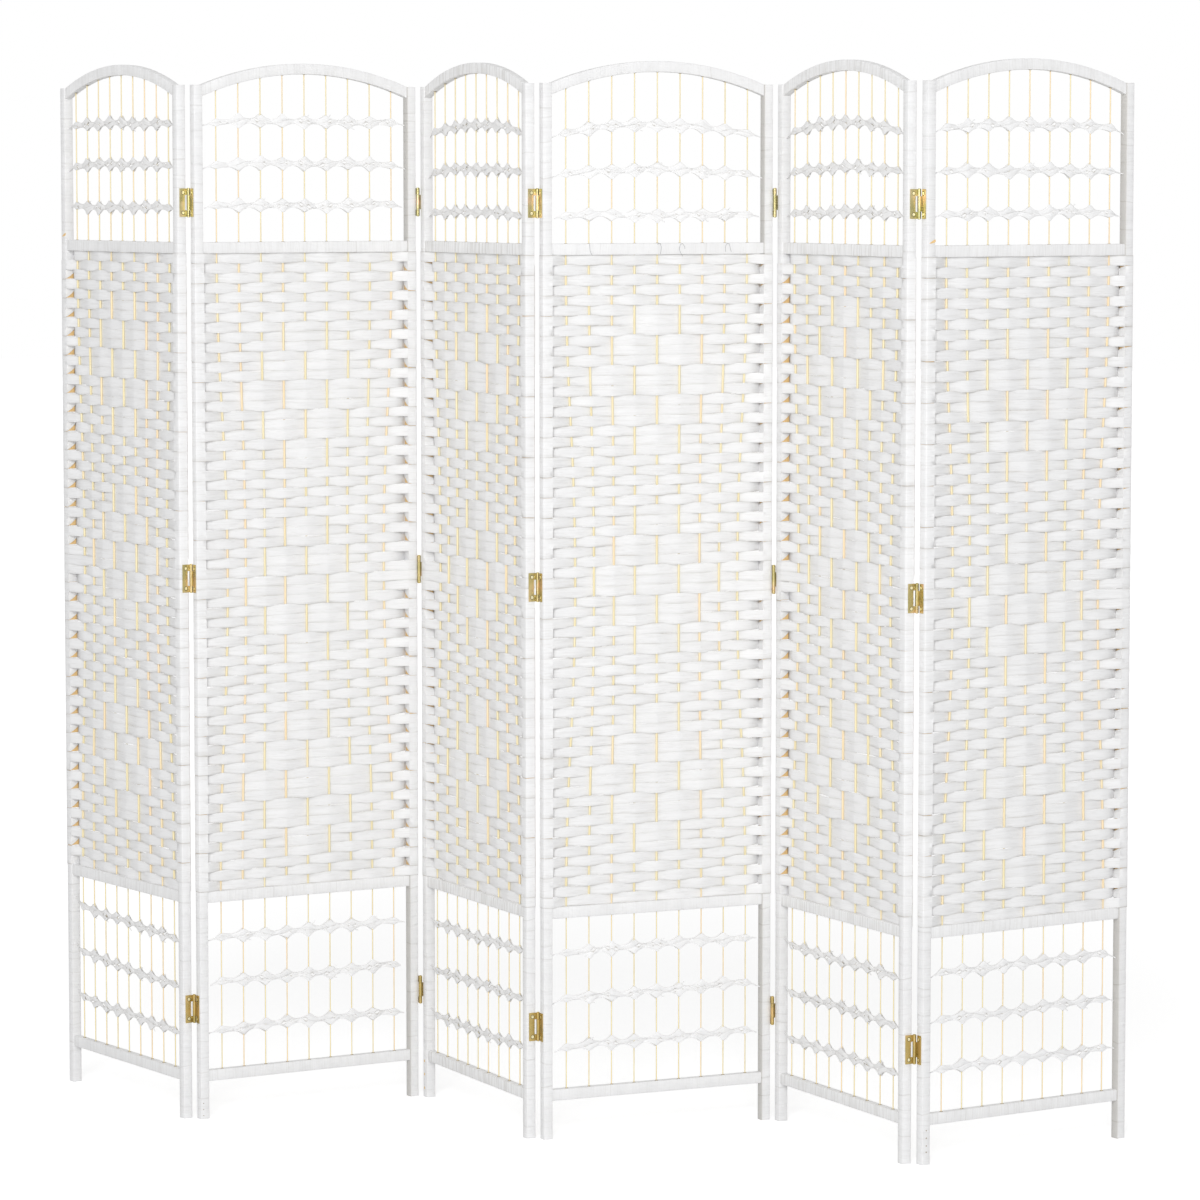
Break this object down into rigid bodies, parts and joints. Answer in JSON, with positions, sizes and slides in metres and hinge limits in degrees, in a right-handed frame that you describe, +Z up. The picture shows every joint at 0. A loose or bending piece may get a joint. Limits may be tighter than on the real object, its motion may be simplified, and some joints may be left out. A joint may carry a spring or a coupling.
{
  "type": "folding privacy screen",
  "caption": "Folding privacy screen of hinged arched panels: paper-wrapped wooden frames, natural warp rods, a woven mat with diamonds and open twisted bands above and below.",
  "frame": {"origin": "on the floor, in the middle of the standing screen's box", "axes": "+X along the screen from the first panel to the last, +Y towards its back, +Z up"},
  "size_m": [1.7954, 0.3422, 1.7],
  "materials": {
    "wrapped_frame": "wooden bar wrapped in white paper strip",
    "natural_rod": "bare split cane",
    "woven_strip": "white pressed paper strip",
    "hinge_brass": "brass plated"
  },
  "bodies": {
    "panel_1": {"left_stile_1": "wrapped_frame", "right_stile_1": "wrapped_frame", "top_arch_1": "wrapped_frame", "cross_rails_1": "wrapped_frame", "warp_rods_1": "natural_rod", "woven_mat_1": "woven_strip", "twist_bands_1": "woven_strip", "hinge_leaves_1": "hinge_brass", "hinge_screws_1": "hinge_brass", "hinge_pins_1": "hinge_brass"},
    "panel_2": {"left_stile_2": "wrapped_frame", "right_stile_2": "wrapped_frame", "top_arch_2": "wrapped_frame", "cross_rails_2": "wrapped_frame", "warp_rods_2": "natural_rod", "woven_mat_2": "woven_strip", "twist_bands_2": "woven_strip", "hinge_leaves_2": "hinge_brass", "hinge_screws_2": "hinge_brass", "hinge_pins_2": "hinge_brass"},
    "panel_3": {"left_stile_3": "wrapped_frame", "right_stile_3": "wrapped_frame", "top_arch_3": "wrapped_frame", "cross_rails_3": "wrapped_frame", "warp_rods_3": "natural_rod", "woven_mat_3": "woven_strip", "twist_bands_3": "woven_strip", "hinge_leaves_3": "hinge_brass", "hinge_screws_3": "hinge_brass", "hinge_pins_3": "hinge_brass"},
    "panel_4": {"left_stile_4": "wrapped_frame", "right_stile_4": "wrapped_frame", "top_arch_4": "wrapped_frame", "cross_rails_4": "wrapped_frame", "warp_rods_4": "natural_rod", "woven_mat_4": "woven_strip", "twist_bands_4": "woven_strip", "hinge_leaves_4": "hinge_brass", "hinge_screws_4": "hinge_brass", "hinge_pins_4": "hinge_brass"},
    "panel_5": {"left_stile_5": "wrapped_frame", "right_stile_5": "wrapped_frame", "top_arch_5": "wrapped_frame", "cross_rails_5": "wrapped_frame", "warp_rods_5": "natural_rod", "woven_mat_5": "woven_strip", "twist_bands_5": "woven_strip", "hinge_leaves_5": "hinge_brass", "hinge_screws_5": "hinge_brass", "hinge_pins_5": "hinge_brass"},
    "panel_6": {"left_stile_6": "wrapped_frame", "right_stile_6": "wrapped_frame", "top_arch_6": "wrapped_frame", "cross_rails_6": "wrapped_frame", "warp_rods_6": "natural_rod", "woven_mat_6": "woven_strip", "twist_bands_6": "woven_strip", "hinge_leaves_6": "hinge_brass", "hinge_screws_6": "hinge_brass"}
  },
  "joints": [
    {"name": "fold_1_2", "type": "hinge", "parent": "panel_2", "child": "panel_1", "pos_m": [-0.5797, -0.1168, 0.877], "axis": [0, 0, 1], "range_deg": [-93.2, 86.8]},
    {"name": "fold_2_3", "type": "hinge", "parent": "panel_3", "child": "panel_2", "pos_m": [-0.28465, 0.15867, 0.877], "axis": [0, 0, -1], "range_deg": [-85.8, 94.2]},
    {"name": "fold_3_4", "type": "hinge", "parent": "panel_3", "child": "panel_4", "pos_m": [0.0026, -0.12493, 0.877], "axis": [0, 0, -1], "range_deg": [-91.7, 88.3]},
    {"name": "fold_4_5", "type": "hinge", "parent": "panel_4", "child": "panel_5", "pos_m": [0.3244, 0.11875, 0.877], "axis": [0, 0, 1], "range_deg": [-92.9, 87.1]},
    {"name": "fold_5_6", "type": "hinge", "parent": "panel_5", "child": "panel_6", "pos_m": [0.61753, -0.15877, 0.877], "axis": [0, 0, -1], "range_deg": [-84.7, 95.3]}
  ]
}
